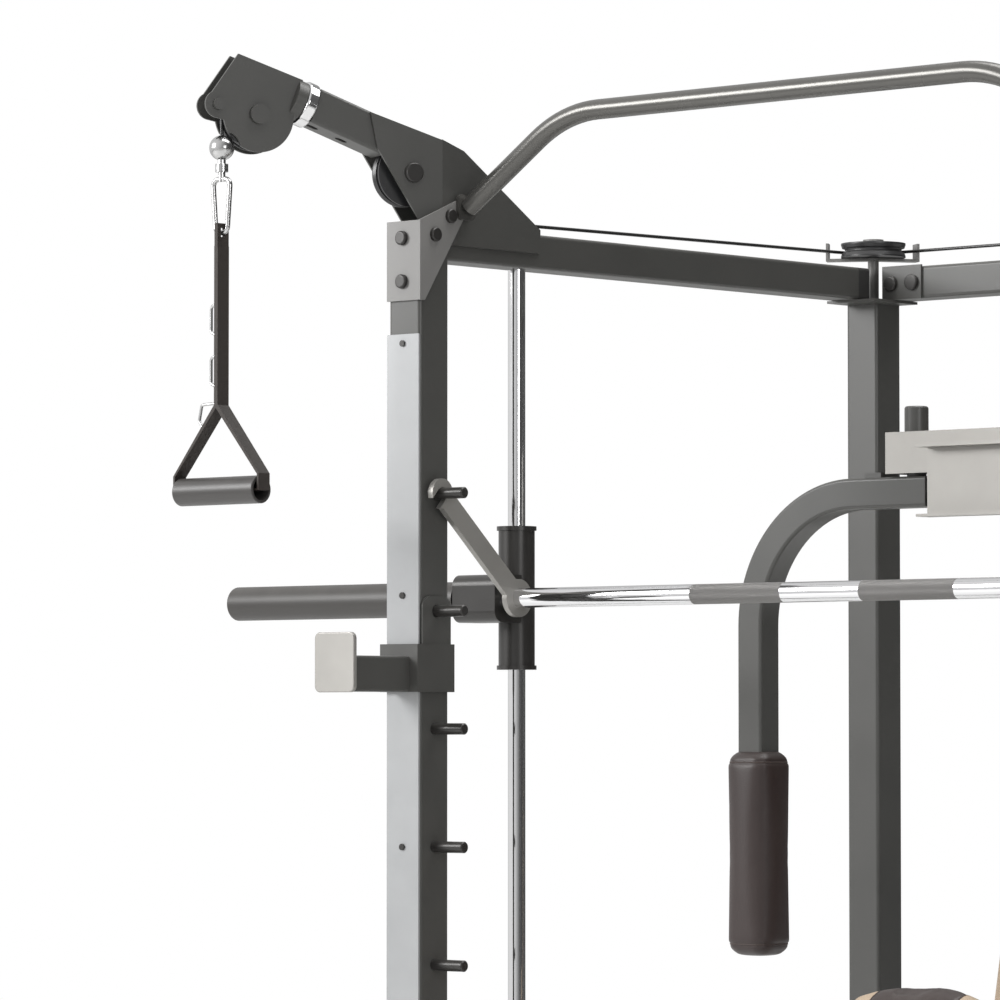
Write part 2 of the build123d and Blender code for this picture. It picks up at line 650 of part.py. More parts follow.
def make_seat_pad():
    """Plain closed block for the upholstered seat."""
    with BuildPart() as seat_pad:
        with BuildSketch(Plane.XY.offset(BENCH_RAIL_TOP)):
            with Locations((0, (SEAT_FRONT + SEAT_REAR) / 2)):
                RectangleRounded(290, SEAT_REAR - SEAT_FRONT, 40)
        extrude(amount=SEAT_TOP - BENCH_RAIL_TOP)
        fillet(seat_pad.edges().group_by(Axis.Z)[-1], radius=14)
    return seat_pad.part


def make_carriages():
    """Sliding sleeves on the front rods, with flanged ends and a bearing block for the bar."""
    with BuildPart() as carriages:
        for side in SIDES:
            center = (side * POST_X, ROD_Y)
            rod((*center, CARRIAGE_BOTTOM), (*center, CARRIAGE_TOP), CARRIAGE_RADIUS)
            for z in (CARRIAGE_BOTTOM, CARRIAGE_TOP - 6):
                rod((*center, z), (*center, z + 6), CARRIAGE_RADIUS + 2.5)
            block = sorted((side * (POST_X - 22), side * (POST_X + 60)))
            box(block, (BAR_Y - 26, ROD_Y - 12), (BAR_Z - 34, BAR_Z + 34))
        long_edges = carriages.edges().filter_by(Axis.X)
        fillet([edge for edge in long_edges if edge.center().Y < BAR_Y - 20], radius=16)
        for side in SIDES:
            center = (side * POST_X, ROD_Y)
            rod((*center, CARRIAGE_BOTTOM - 1), (*center, CARRIAGE_TOP + 1), ROD_RADIUS + RUNNING_GAP,
                mode=Mode.SUBTRACT)
            rod((side * (POST_X - 30), BAR_Y, BAR_Z), (side * (POST_X + 70), BAR_Y, BAR_Z),
                BAR_RADIUS + RUNNING_GAP, mode=Mode.SUBTRACT)
    return carriages.part


def make_smith_bar():
    """Long bar through both carriages."""
    reach = POST_X + SLEEVE_END - 6
    with BuildPart() as smith_bar:
        rod((-reach, BAR_Y, BAR_Z), (reach, BAR_Y, BAR_Z), BAR_RADIUS)
    return smith_bar.part


def make_weight_sleeves():
    """Sleeves for weight plates on the ends of the bar, with a stop flange and a closed end."""
    with BuildPart() as weight_sleeves:
        for side in SIDES:
            start = Vector(side * (POST_X + SLEEVE_START), BAR_Y, BAR_Z)
            end = Vector(side * (POST_X + SLEEVE_END), BAR_Y, BAR_Z)
            rod(start, end, SLEEVE_RADIUS)
            rod(Vector(side * (POST_X + 128), BAR_Y, BAR_Z), Vector(side * (POST_X + 140), BAR_Y, BAR_Z), 40)
            rod(start, end - Vector(side * 6, 0, 0), BAR_RADIUS, mode=Mode.SUBTRACT)
        rims = weight_sleeves.edges().filter_by(GeomType.CIRCLE)
        fillet([edge for edge in rims if abs(edge.center().X) > POST_X + SLEEVE_END - 1], radius=2)
    return weight_sleeves.part


def make_latch_hooks():
    """Hook plates clamped on the bar, each over a peg with its throat open to the front and down."""
    reach = Vector(0, UPRIGHT_Y - BAR_Y, PEG_TOP_Z - BAR_Z)
    throat = Vector(0, -reach.Z, reach.Y).normalized()
    lean = degrees(atan2(reach.Z, reach.Y))
    with BuildPart() as latch_hooks:
        for side in SIDES:
            with BuildSketch(side_plane(side, 37)):
                with Locations((across(side, BAR_Y), BAR_Z)):
                    Circle(27)
                with Locations((across(side, UPRIGHT_Y), PEG_TOP_Z)):
                    Circle(21)
                middle = ((BAR_Y + UPRIGHT_Y) / 2, (BAR_Z + PEG_TOP_Z) / 2)
                bend = lean if side < 0 else 180 - lean
                with Locations(Location((across(side, middle[0]), middle[1], 0), (0, 0, bend))):
                    Rectangle(reach.length, 30)
                mouth = Vector(0, UPRIGHT_Y, PEG_TOP_Z) + throat * 15
                turn = degrees(atan2(throat.Z, throat.Y))
                turn = turn if side < 0 else 180 - turn
                with Locations(Location((across(side, mouth.Y), mouth.Z, 0), (0, 0, turn))):
                    Rectangle(30, 2 * PEG_RADIUS + 4.4, mode=Mode.SUBTRACT)
                with Locations((across(side, UPRIGHT_Y), PEG_TOP_Z)):
                    Circle(PEG_RADIUS + 0.8, mode=Mode.SUBTRACT)
                with Locations((across(side, BAR_Y), BAR_Z)):
                    Circle(BAR_RADIUS, mode=Mode.SUBTRACT)
            extrude(amount=9)
    return latch_hooks.part


def make_spotter(side):
    """Safety catch: a collar round the upright, a side plate on a peg and a square arm."""
    center_x = side * POST_X
    low, high = 1324.0, 1391.0
    with BuildPart() as spotter:
        box((center_x - 36, center_x + 36), (UPRIGHT_Y - 41, UPRIGHT_Y + 35), (low, high))
        cut_box((center_x - 30.5, center_x + 30.5), (UPRIGHT_Y - 36, UPRIGHT_Y + 30.5), (low - 1, high + 1))
        with BuildSketch(side_plane(side, 30.5)):
            with Locations((across(side, UPRIGHT_Y), (1358 + 1458) / 2)):
                RectangleRounded(58, 100, 16)
            with Locations((across(side, UPRIGHT_Y), 1437)):
                Circle(PEG_RADIUS + 1, mode=Mode.SUBTRACT)
        extrude(amount=4)
        arm_start = (center_x, UPRIGHT_Y - 40, low + 25)
        with BuildSketch(Plane(origin=arm_start, x_dir=(1, 0, 0), z_dir=(0, -1, 0))):
            RectangleRounded(40, 50, 4)
        extrude(amount=125)
    return spotter.part


def make_spotter_plate(side):
    """Rounded end plate that keeps a bar from rolling off the catch."""
    with BuildPart() as spotter_plate:
        place = (side * POST_X, UPRIGHT_Y - 165, 1364.5)
        with BuildSketch(Plane(origin=place, x_dir=(1, 0, 0), z_dir=(0, -1, 0))):
            RectangleRounded(75, 83, 9)
        extrude(amount=6)
        fillet(spotter_plate.faces().sort_by(Axis.Y)[0].edges(), radius=1.5)
    return spotter_plate.part


def make_fly_arm(side):
    """Bent square tube arm with its pivot spindle, cap and stop plate."""
    with BuildPart() as fly_arm:
        with BuildLine() as path:
            FilletPolyline((side * (FLY_X - 32), FLY_Y, FLY_ARM_Z), (side * FLY_REACH, FLY_Y, FLY_ARM_Z),
                           (side * FLY_REACH, FLY_Y, FLY_PAD_LOW + 20), radius=FLY_BEND)
        with BuildSketch(Plane(origin=path.line @ 0, x_dir=(0, 1, 0), z_dir=path.line % 0)):
            RectangleRounded(FLY_TUBE, FLY_TUBE, 5)
            RectangleRounded(FLY_TUBE - 2 * WALL, FLY_TUBE - 2 * WALL, 3, mode=Mode.SUBTRACT)
        sweep()
        pivot = (side * FLY_X, FLY_Y)
        rod((*pivot, FLY_ARM_Z), (*pivot, FLY_BOX_TOP + 6), FLY_PIVOT_RADIUS)
        rod((*pivot, FLY_BOX_TOP + 0.5), (*pivot, FLY_BOX_TOP + 38), 17.5)
        top_rim = fly_arm.edges().group_by(Axis.Z)[-1]
        fillet(top_rim, radius=4)
        plate = sorted((side * (FLY_X + 50), side * (FLY_X + 80)))
        box(plate, (FLY_Y - 20, FLY_Y + 20), (FLY_ARM_Z, FLY_ARM_Z + FLY_TUBE / 2 + 7))
    return fly_arm.part


def make_fly_pad(side):
    """Plain block for the upholstered pad around the arm's hanging leg."""
    with BuildPart() as fly_pad:
        with BuildSketch(Plane.XY.offset(FLY_PAD_LOW)):
            with Locations((side * FLY_REACH, FLY_Y)):
                RectangleRounded(88, 84, 20)
        extrude(amount=FLY_PAD_HIGH - FLY_PAD_LOW)
        fillet(fly_pad.edges().group_by(Axis.Z)[-1], radius=10)
        fillet(fly_pad.edges().group_by(Axis.Z)[0], radius=10)
        hole = FLY_TUBE / 2 + 0.4
        cut_box((side * FLY_REACH - hole, side * FLY_REACH + hole), (FLY_Y - hole, FLY_Y + hole),
                (FLY_PAD_LOW + 19.6, FLY_PAD_HIGH + 1))
    return fly_pad.part


def cable_line():
    """Touching points of the taut cable over the end pulley, the gusset pulley and the roller."""
    grip_end = END_GROOVE + CABLE_RADIUS
    grip_gusset = GUSSET_GROOVE + CABLE_RADIUS
    grip_roller = -(ROLLER_GROOVE + CABLE_RADIUS)
    first = tangent_points(END_PULLEY, grip_end, GUSSET_PULLEY, grip_gusset)
    second = tangent_points(GUSSET_PULLEY, grip_gusset, ROLLER, grip_roller)
    return first, second


def cable_joint(first):
    """Point of the cable inside the arm where the swivelling part meets the fixed part."""
    start, end = first
    share = (ARM_START.Y + 10.0 - start.Y) / (end.Y - start.Y)
    return start + (end - start) * share


def sweep_cable(points, radii):
    """Cable of round section along straight runs joined by tangent arcs."""
    with BuildLine() as path:
        FilletPolyline(*points, radius=radii)
    with BuildSketch(Plane(origin=path.line @ 0, z_dir=path.line % 0)) as section:
        Circle(CABLE_RADIUS)
    sweep(section.sketch, path=path.line)


def make_end_cable(side):
    """Cable inside the swivelling housing, over the end pulley and down to the handle."""
    first, _ = cable_line()
    joint = cable_joint(first)
    vertical = (Vector(0, DROP_FRONT_Y, 0), Vector(0, DROP_FRONT_Y, 1))
    corner = meeting_point(first, vertical)
    exit_point = Vector(0, DROP_FRONT_Y, END_PULLEY.Z - 5)
    with BuildPart() as end_cable:
        sweep_cable([splay_point(side, point) for point in (joint, corner, exit_point)], END_GROOVE + CABLE_RADIUS)
    return end_cable.part


def make_run_cables():
    """Fixed cable runs: through the arm, over the gusset, round the corner and to the centre."""
    first, second = cable_line()
    along_arm = (first[1] - first[0]).normalized()
    joint = cable_joint(first) + along_arm * 1.5
    over = meeting_point(first, second)
    leave = second[0] + (second[1] - second[0]).normalized() * 20.0
    low_z = ROLLER.Z - ROLLER_GROOVE - CABLE_RADIUS
    under = meeting_point(second, (Vector(0, 0, low_z), Vector(0, 1, low_z)))
    radii = [GUSSET_GROOVE + CABLE_RADIUS, 20.0, ROLLER_GROOVE + CABLE_RADIUS, CORNER_GROOVE + CABLE_RADIUS,
             CENTER_GROOVE + CABLE_RADIUS]
    outside = CORNER_GROOVE + CABLE_RADIUS
    run = REAR_Y - under.Y
    corner_out = tan(asin(outside / run)) * (run + outside)
    with BuildPart() as run_cables:
        for side in SIDES:
            points = [splay_point(side, joint), splay_point(side, over), splay_point(side, leave),
                      at_side(side, under),
                      Vector(side * (POST_X + corner_out), DROP_Y, CORNER_Z),
                      Vector(side * DROP_X, DROP_Y, CORNER_Z),
                      Vector(side * DROP_X, DROP_Y, CENTER_Z - 6)]
            sweep_cable(points, radii)
    return run_cables.part


def make_drop_cable(side):
    """Short stretch of cable above the handle that grows as the handle is pulled."""
    with BuildPart() as drop_cable:
        rod((side * HANDLE_OUT, HANDLE_Y, BALL_Z + BALL_RADIUS - 0.2),
            (side * HANDLE_OUT, HANDLE_Y, END_PULLEY.Z - 5),
            CABLE_RADIUS)
    return drop_cable.part


def make_lift_cables():
    """Pair of cables that hang from the centre pulleys down to the weight carriage."""
    with BuildPart() as lift_cables:
        for side in SIDES:
            rod((side * DROP_X, DROP_Y, STACK_Z + 120), (side * DROP_X, DROP_Y, CENTER_Z - 6), CABLE_RADIUS)
    return lift_cables.part


def make_snap(side):
    """Stop ball, swivel, snap hook and the rings of the strap."""
    center_x = side * HANDLE_OUT
    with BuildPart() as snap:
        with Locations((center_x, HANDLE_Y, BALL_Z)):
            Sphere(BALL_RADIUS)
        cut_box((center_x - 20, center_x + 20), (HANDLE_Y - 20, HANDLE_Y + 20),
                (BALL_Z + BALL_RADIUS - 0.2, BALL_Z + BALL_RADIUS + 1))
        rod((center_x, HANDLE_Y, BALL_Z), (center_x, HANDLE_Y, HOOK_TOP + 18), 5.5)
        rod((center_x, HANDLE_Y, HOOK_TOP + 21), (center_x, HANDLE_Y, HOOK_TOP + 10), 9)
        rod((center_x, HANDLE_Y, HOOK_TOP + 12), (center_x, HANDLE_Y, HOOK_TOP - 3), 5)
        with BuildLine() as hook:
            FilletPolyline((center_x + 1, HANDLE_Y, HOOK_TOP), (center_x + 17, HANDLE_Y, HOOK_TOP),
                           (center_x + 11, HANDLE_Y, HOOK_BOTTOM), (center_x - 11, HANDLE_Y, HOOK_BOTTOM),
                           (center_x - 17, HANDLE_Y, HOOK_TOP), (center_x - 1, HANDLE_Y, HOOK_TOP), radius=9.5)
        with BuildSketch(Plane(origin=hook.line @ 0, z_dir=hook.line % 0)):
            Circle(3.5)
        sweep()
        band_ring = ((6.2, 0), (20, -6), (20, -41), (6.2, -47))
        leg_ring = ((7, -3), (38, -4), (43, -26), (36, -36))
        for top, outline in ((1862.5, band_ring), (1791, band_ring), (1725.5, leg_ring)):
            with BuildLine() as ring:
                FilletPolyline(*[(center_x + side * out, HANDLE_Y, top + up) for out, up in outline], radius=5)
            with BuildSketch(Plane(origin=ring.line @ 0, z_dir=ring.line % 0)):
                Circle(2.2)
            sweep()
    return snap.part


def make_strap(side):
    """Webbing strap: a doubled upper band, two legs and the run through the grip."""
    center_x = side * HANDLE_OUT
    end = GRIP_LENGTH / 2 + 4
    with BuildPart() as strap:
        box((center_x - 3.5, center_x + 3.5), (HANDLE_Y - 11, HANDLE_Y + 11), (STRAP_APEX - 4, STRAP_TOP))
        with BuildSketch(Plane(origin=(center_x, HANDLE_Y + 11, 0), x_dir=(1, 0, 0), z_dir=(0, -1, 0))):
            Polygon((-2, STRAP_APEX), (2, STRAP_APEX), (end + 1.5, GRIP_Z + 22), (end + 1.5, GRIP_Z - 1.5),
                    (-end - 1.5, GRIP_Z - 1.5), (-end - 1.5, GRIP_Z + 22), align=None)
            Polygon((0, STRAP_APEX - 6), (end - 1.8, GRIP_Z + 21), (end - 1.8, GRIP_Z + 1.5),
                    (-end + 1.8, GRIP_Z + 1.5), (-end + 1.8, GRIP_Z + 21), align=None, mode=Mode.SUBTRACT)
        extrude(amount=22)
        box((center_x - 3, center_x + 3), (HANDLE_Y - 11, HANDLE_Y + 11), (STRAP_TOP, HOOK_BOTTOM + 13))
        cut_box((center_x - 20, center_x + 20), (HANDLE_Y - 4.2, HANDLE_Y + 4.2), (HOOK_BOTTOM - 6, HOOK_BOTTOM + 7))
    return strap.part


def make_grip(side):
    """Hollow grip that turns on the webbing."""
    center_x = side * HANDLE_OUT
    half = GRIP_LENGTH / 2
    with BuildPart() as grip:
        with BuildSketch(Plane(origin=(center_x - half, HANDLE_Y, GRIP_Z), z_dir=(1, 0, 0))):
            Circle(GRIP_RADIUS)
            Circle(GRIP_RADIUS - 4, mode=Mode.SUBTRACT)
        extrude(amount=GRIP_LENGTH)
        rims = grip.edges().filter_by(GeomType.CIRCLE).filter_by(lambda edge: edge.radius > GRIP_RADIUS - 1)
        fillet(rims, radius=1.5)
    return grip.part


def make_weight_carriage():
    """Cross tube with two sleeves on the rear rods, plate posts either side and cable lugs."""
    with BuildPart() as weight_carriage:
        box((-132, 132), (STACK_Y - 25, STACK_Y + 25), (STACK_Z - 25, STACK_Z + 25))
        for side in SIDES:
            center = (side * STACK_X, STACK_Y)
            rod((*center, STACK_Z - 90), (*center, STACK_Z + 90), 24)
            rod((side * (STACK_X + 15), STACK_Y, STACK_Z), (side * 460, STACK_Y, STACK_Z), 24.5)
            rod((side * 186, STACK_Y, STACK_Z), (side * 196, STACK_Y, STACK_Z), 45)
            lug = sorted((side * (DROP_X - 9), side * (DROP_X + 9)))
            box(lug, (DROP_Y - 9, DROP_Y + 9), (STACK_Z + 20, STACK_Z + 60))
            rod((side * DROP_X, DROP_Y, STACK_Z + 58), (side * DROP_X, DROP_Y, STACK_Z + 120), 6)
        for side in SIDES:
            center = (side * STACK_X, STACK_Y)
            rod((*center, STACK_Z - 91), (*center, STACK_Z + 91), ROD_RADIUS + RUNNING_GAP, mode=Mode.SUBTRACT)
    return weight_carriage.part


def back_plane(along, behind=0.0):
    """Plane across the back rest's bar at a distance up from its pivot."""
    up = Vector(0, sin(BACK_TILT), cos(BACK_TILT))
    rearward = Vector(0, cos(BACK_TILT), -sin(BACK_TILT))
    return Plane(origin=BACK_PIVOT + up * along + rearward * behind, x_dir=(1, 0, 0), z_dir=up)


def make_back_frame():
    """Bar behind the back pad, bored for its pivot."""
    with BuildPart() as back_frame:
        with BuildSketch(back_plane(-13)):
            RectangleRounded(BACK_BAR_WIDTH, BACK_BAR_DEPTH, 4)
            RectangleRounded(BACK_BAR_WIDTH - 2 * WALL, BACK_BAR_DEPTH - 2 * WALL, 2, mode=Mode.SUBTRACT)
        extrude(amount=680)
        rod((-26, BACK_PIVOT.Y, BACK_PIVOT.Z), (26, BACK_PIVOT.Y, BACK_PIVOT.Z), AXLE_RADIUS + RUNNING_GAP,
            mode=Mode.SUBTRACT)
    return back_frame.part


def make_back_pad():
    """Plain closed block for the back cushion."""
    behind = -(BACK_BAR_DEPTH + BACK_THICKNESS) / 2
    with BuildPart() as back_pad:
        with BuildSketch(back_plane(70, behind)):
            RectangleRounded(310, BACK_THICKNESS - 0.6, 16)
        extrude(amount=660)
    return back_pad.part


def curl_plane(depth):
    """Plane of the sloping arm-curl pad at a depth under its top face."""
    down_front = Vector(0, -cos(CURL_TILT), -sin(CURL_TILT))
    normal = Vector(0, -sin(CURL_TILT), cos(CURL_TILT))
    return Plane(origin=CURL_TOP + down_front * 8 - normal * depth, x_dir=(1, 0, 0), z_dir=normal)


def make_curl_post():
    """Sliding post of the arm-curl pad, cut off to the pad's slope, with its head plate."""
    under_pad = curl_plane(CURL_THICKNESS)
    with BuildPart() as curl_post:
        square_tube(Plane.XY.move(Location((0, SOCKET_Y, BENCH_RAIL_TOP + 2))), 460, 41, 3)
        with BuildSketch(under_pad) as beyond:
            Rectangle(300, 600)
        extrude(beyond.sketch, amount=150, mode=Mode.SUBTRACT)
        with BuildSketch(under_pad) as head:
            with Locations((0, -52)):
                RectangleRounded(140, 110, 8)
        extrude(head.sketch, amount=-5)
    return curl_post.part


def make_curl_pad():
    """Plain closed block for the sloping arm-curl cushion, arched along its top edge."""
    with BuildPart() as curl_pad:
        with BuildSketch(curl_plane(0)):
            with BuildLine():
                Line((-125, -25.5), (-125, -250))
                Line((-125, -250), (125, -250))
                Line((125, -250), (125, -25.5))
                ThreePointArc((125, -25.5), (0, 8), (-125, -25.5))
            make_face()
        extrude(amount=-CURL_THICKNESS)
    return curl_pad.part


def make_leg_lever():
    """Lever under the bench with a cross rod for the foam rollers."""
    with BuildPart() as leg_lever:
        square_tube(Plane.XY.move(Location((0, LEVER_Y, 150))), LEVER_Z + 18 - 150, FLY_TUBE)
        rod((-24, LEVER_Y, LEVER_Z), (24, LEVER_Y, LEVER_Z), AXLE_RADIUS + RUNNING_GAP, mode=Mode.SUBTRACT)
        rod((-195, LEVER_Y, 175), (195, LEVER_Y, 175), 12)
    return leg_lever.part


def make_leg_rollers():
    """Foam rollers on the lever's cross rod."""
    with BuildPart() as leg_rollers:
        for side in SIDES:
            start = Vector(side * 30, LEVER_Y, 175)
            end = Vector(side * 190, LEVER_Y, 175)
            rod(start, end, 45)
            rod(start, end, 12, mode=Mode.SUBTRACT)
        rims = leg_rollers.edges().filter_by(GeomType.CIRCLE).filter_by(lambda edge: edge.radius > 40)
        fillet(rims, radius=10)
    return leg_rollers.part


def all_nodes():
    """Every sub-part of the machine, by the name of its node."""
    nodes = {
        "floor_frame": make_floor_frame(),
        "feet_and_caps": make_feet_and_caps(),
        "cage_posts": make_cage_posts(),
        "top_beams": make_top_beams(),
        "mast": make_mast(),
        "upright_guards": make_upright_guards(),
        "latch_pegs": make_latch_pegs(),
        "pullup_bar": make_pullup_bar(),
        "pullup_brackets": make_pullup_brackets(),
        "crossover_arms": make_crossover_arms(),
        "arm_gussets": make_arm_gussets(),
        "swivel_collars": make_swivel_collars(),
        "roller_pulleys": make_roller_pulleys(),
        "guide_rods": make_guide_rods(),
        "pulley_brackets": make_pulley_brackets(),
        "fly_carrier": make_fly_carrier(),
        "fasteners": make_fasteners(),
        "run_cables": make_run_cables(),
        "bench_frame": make_bench_frame(),
        "seat_pad": make_seat_pad(),
        "carriages": make_carriages(),
        "smith_bar": make_smith_bar(),
        "weight_sleeves": make_weight_sleeves(),
        "latch_hooks": make_latch_hooks(),
        "weight_carriage": make_weight_carriage(),
        "lift_cables": make_lift_cables(),
        "back_frame": make_back_frame(),
        "back_pad": make_back_pad(),
        "curl_post": make_curl_post(),
        "curl_pad": make_curl_pad(),
        "leg_lever": make_leg_lever(),
        "leg_rollers": make_leg_rollers(),
    }
    for side in SIDES:
        name = SIDE_NAMES[side]
        corner = Vector(side * POST_X, REAR_Y, CORNER_Z)
        center = Vector(side * CENTER_X, DROP_Y, CENTER_Z)
        nodes[f"end_housing_{name}"] = make_end_housing(side)
        end_pulley = make_pulley(at_side(side, END_PULLEY), (1, 0, 0), 50, END_GROOVE)
        gusset_pulley = make_pulley(at_side(side, GUSSET_PULLEY), (1, 0, 0), 46, GUSSET_GROOVE)
        nodes[f"end_pulley_{name}"] = splay(side, end_pulley)
        nodes[f"gusset_pulley_{name}"] = splay(side, gusset_pulley)
        nodes[f"corner_pulley_{name}"] = make_pulley(corner, (0, 0, 1), 50, CORNER_GROOVE)
        nodes[f"center_pulley_{name}"] = make_pulley(center, (0, 1, 0), 46, CENTER_GROOVE)
        nodes[f"end_cable_{name}"] = make_end_cable(side)
        nodes[f"drop_cable_{name}"] = make_drop_cable(side)
        nodes[f"snap_{name}"] = make_snap(side)
        nodes[f"strap_{name}"] = make_strap(side)
        nodes[f"grip_{name}"] = make_grip(side)
        nodes[f"spotter_{name}"] = make_spotter(side)
        nodes[f"spotter_plate_{name}"] = make_spotter_plate(side)
        nodes[f"fly_arm_{name}"] = make_fly_arm(side)
        nodes[f"fly_pad_{name}"] = make_fly_pad(side)
    return nodes


os.makedirs("parts", exist_ok=True)
for node_name, shape in all_nodes().items():
    shape.label = node_name
    export_step(shape, f"parts/{node_name}.step")
print("wrote", len(os.listdir("parts")), "parts")
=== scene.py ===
# %% [markdown]
# # A multi station home gym
# This notebook dresses a finished engineering model of a home gym: a steel cage with a guided
# bar, two overhead cable arms, a pull-up bar, a pec-fly station and a bench. The hard parts are
# exact already, so here they only get their paint, chrome and rubber, and so does the webbing of
# the handles. The cushions are made here, one by one, and placed by the model's own numbers.

# %% Load the frame
import json
import math

import bmesh
import bpy
from mathutils import Matrix, Vector


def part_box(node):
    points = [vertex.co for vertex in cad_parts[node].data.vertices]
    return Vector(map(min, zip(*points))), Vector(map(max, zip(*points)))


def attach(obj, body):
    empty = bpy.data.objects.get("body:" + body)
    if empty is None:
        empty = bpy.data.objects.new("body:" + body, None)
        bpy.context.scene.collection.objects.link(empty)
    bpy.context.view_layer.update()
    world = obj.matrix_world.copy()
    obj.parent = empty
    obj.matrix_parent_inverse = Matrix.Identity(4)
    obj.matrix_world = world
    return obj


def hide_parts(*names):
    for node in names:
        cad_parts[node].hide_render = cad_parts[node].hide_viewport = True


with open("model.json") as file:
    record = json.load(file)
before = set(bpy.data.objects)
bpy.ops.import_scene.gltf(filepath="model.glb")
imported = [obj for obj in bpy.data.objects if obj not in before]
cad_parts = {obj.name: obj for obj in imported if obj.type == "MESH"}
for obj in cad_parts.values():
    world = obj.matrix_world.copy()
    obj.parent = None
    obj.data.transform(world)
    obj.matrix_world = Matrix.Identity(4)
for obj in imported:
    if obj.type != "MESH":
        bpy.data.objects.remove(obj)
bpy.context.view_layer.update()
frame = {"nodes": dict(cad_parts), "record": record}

nodes = frame["nodes"]
SIDES = {"left": -1, "right": 1}

# %% [markdown]
# ## Camera, light and floor
# The machine stands in a white studio. A long lens a good way off keeps the tubes nearly
# parallel, as a catalogue picture does. Dark paint and chrome show nothing but what they mirror,
# so the room matters as much as the lamps: it is bright towards the front left, where a large
# soft lamp stands, and falls off towards the rear right. Round bars then get one clean white
# line and a dark edge, and the two faces of each square tube differ in tone.

# %% Camera
camera_data = bpy.data.cameras.new("studio_camera")
camera_data.lens = 192.9
camera_data.clip_end = 200
camera = bpy.data.objects.new("studio_camera", camera_data)
camera.location = (4.5358, -5.8483, 1.2765)
camera.rotation_euler = (math.radians(92.416), 0, math.radians(42.231))
bpy.context.collection.objects.link(camera)
bpy.context.scene.camera = camera
bpy.context.scene.view_settings.view_transform = "Standard"
print("camera", round((camera.location - Vector((0, 0, 1))).length, 2), "m from the machine")


# %% Lamps
def add_lamp(name, place, aim, size, power):
    """A square soft lamp at a place, facing a point of the machine."""
    lamp_data = bpy.data.lights.new(name, "AREA")
    lamp_data.size = size
    lamp_data.energy = power
    lamp = bpy.data.objects.new(name, lamp_data)
    lamp.location = place
    lamp.rotation_euler = (Vector(aim) - Vector(place)).to_track_quat("-Z", "Y").to_euler()
    bpy.context.collection.objects.link(lamp)


add_lamp("key_lamp", (-3.6, -4.6, 3.6), (0, 0, 1.3), 2.2, 260)
add_lamp("top_lamp", (0.4, 0.6, 5.2), (0, 0, 1.0), 3.0, 140)
add_lamp("fill_lamp", (5.0, -2.2, 2.6), (0, 0, 1.2), 1.6, 70)


# %% Room and floor
def build_room(bright_side=(-0.62, -0.70, 0.35)):
    """A white room for the camera, which reflections see as bright on one side and dim on the other."""
    world = bpy.data.worlds.new("studio_room")
    bpy.context.scene.world = world
    world.use_nodes = True
    tree = world.node_tree
    tree.nodes.clear()
    direction = tree.nodes.new("ShaderNodeTexCoord")
    facing = tree.nodes.new("ShaderNodeVectorMath")
    facing.operation = "DOT_PRODUCT"
    facing.inputs[1].default_value = bright_side
    ramp = tree.nodes.new("ShaderNodeMapRange")
    ramp.interpolation_type = "SMOOTHSTEP"
    ramp.inputs["From Min"].default_value = -0.75
    ramp.inputs["From Max"].default_value = 0.9
    ramp.inputs["To Min"].default_value = 0.12
    ramp.inputs["To Max"].default_value = 1.25
    walls = tree.nodes.new("ShaderNodeBackground")
    backdrop = tree.nodes.new("ShaderNodeBackground")
    backdrop.inputs["Color"].default_value = (1, 1, 1, 1)
    seen = tree.nodes.new("ShaderNodeLightPath")
    choose = tree.nodes.new("ShaderNodeMixShader")
    output = tree.nodes.new("ShaderNodeOutputWorld")
    tree.links.new(direction.outputs["Generated"], facing.inputs[0])
    tree.links.new(facing.outputs["Value"], ramp.inputs["Value"])
    tree.links.new(ramp.outputs["Result"], walls.inputs["Strength"])
    tree.links.new(seen.outputs["Is Camera Ray"], choose.inputs[0])
    tree.links.new(walls.outputs[0], choose.inputs[1])
    tree.links.new(backdrop.outputs[0], choose.inputs[2])
    tree.links.new(choose.outputs[0], output.inputs["Surface"])


build_room()
bpy.ops.object.select_all(action="DESELECT")
bpy.ops.mesh.primitive_plane_add(size=16, location=(0, 0, 0))
floor = bpy.context.object
floor.name = "studio_floor"
floor_paint = bpy.data.materials.new("pale_floor")
floor_paint.use_nodes = True
floor_paint.node_tree.nodes["Principled BSDF"].inputs["Base Color"].default_value = (0.86, 0.86, 0.85, 1)
floor_paint.node_tree.nodes["Principled BSDF"].inputs["Roughness"].default_value = 0.7
floor.data.materials.append(floor_paint)
print("room and floor ready")

# %% [markdown]
# ## Surface effects, each built once
# Every finish on the machine is a plain base plus a small effect: the orange-peel of powder
# coat, brush lines in zinc, the pebble grain of vinyl, the threads of webbing, and dust on
# whatever faces up. Each effect is a shader group with named inputs, so that a material only
# places it and sets its scale. Their outputs are alike: a fine height for the bump, and broad
# patches that vary colour and gloss.


# %% A group with the common sockets
def start_group(name):
    """An empty effect group: a place and a scale go in, a height and patches come out."""
    group = bpy.data.node_groups.new(name, "ShaderNodeTree")
    group.interface.new_socket("Vector", in_out="INPUT", socket_type="NodeSocketVector")
    scale = group.interface.new_socket("Scale", in_out="INPUT", socket_type="NodeSocketFloat")
    scale.default_value = 100
    for label in ("Height", "Patches"):
        group.interface.new_socket(label, in_out="OUTPUT", socket_type="NodeSocketFloat")
    return group, group.nodes.new("NodeGroupInput"), group.nodes.new("NodeGroupOutput")


